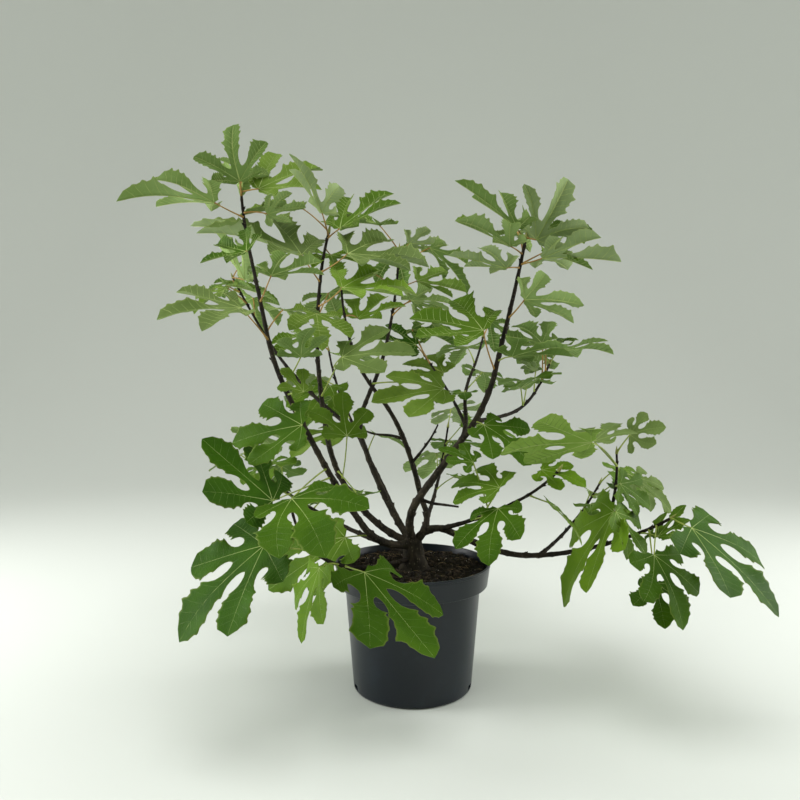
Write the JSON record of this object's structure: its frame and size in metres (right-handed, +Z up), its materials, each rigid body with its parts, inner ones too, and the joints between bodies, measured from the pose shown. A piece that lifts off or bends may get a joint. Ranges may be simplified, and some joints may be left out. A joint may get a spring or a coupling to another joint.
{
  "type": "fig tree in a pot",
  "caption": "Young fig tree with several thin leafy stems, standing in a plain round nursery pot filled with compost.",
  "frame": {"origin": "centre of the pot's flat underside, on the surface it stands on", "axes": "+Z up, +X to the side that the longest low bough runs out to, -Y towards the front"},
  "size_m": [0.5485, 0.4902, 0.5219],
  "materials": {
    "plastic": "smooth semi-gloss charcoal polypropylene",
    "compost": "loose dark peat with pale fibres",
    "bark": "grey-brown bark with darker young wood",
    "foliage": "rough matt leaf with pale veins"
  },
  "bodies": {
    "root": {"bough_back": "bark", "bough_centre": "bark", "bough_front_right": "bark", "bough_inner_left": "bark", "bough_left": "bark", "bough_low_back": "bark", "bough_low_front": "bark", "bough_low_rear_left": "bark", "bough_low_right": "bark", "bough_rear": "bark", "bough_rear_left": "bark", "bough_rear_middle": "bark", "bough_rear_right": "bark", "bough_right": "bark", "bough_right_side": "bark", "compost": "compost", "leaves_bough_end": "foliage", "leaves_bough_twig": "foliage", "leaves_centre_middle": "foliage", "leaves_centre_top": "foliage", "leaves_front_left": "foliage", "leaves_front_right_end": "foliage", "leaves_front_right_low": "foliage", "leaves_inner_low": "foliage", "leaves_inner_middle": "foliage", "leaves_inner_top": "foliage", "leaves_left_foot": "foliage", "leaves_left_low": "foliage", "leaves_left_middle": "foliage", "leaves_left_top": "foliage", "leaves_low_back": "foliage", "leaves_low_rear_left": "foliage", "leaves_low_rear_right": "foliage", "leaves_rear_back": "foliage", "leaves_rear_centre": "foliage", "leaves_rear_left": "foliage", "leaves_rear_right": "foliage", "leaves_rear_top": "foliage", "leaves_right_low": "foliage", "leaves_right_middle": "foliage", "leaves_right_rear": "foliage", "leaves_right_top": "foliage", "leaves_right_upper": "foliage", "pot": "plastic", "trunk": "bark", "twig_bare_left": "bark", "twig_bare_low": "bark", "twig_bare_right": "bark", "twig_low_rear_right": "bark", "twig_upright": "bark"}
  },
  "joints": []
}
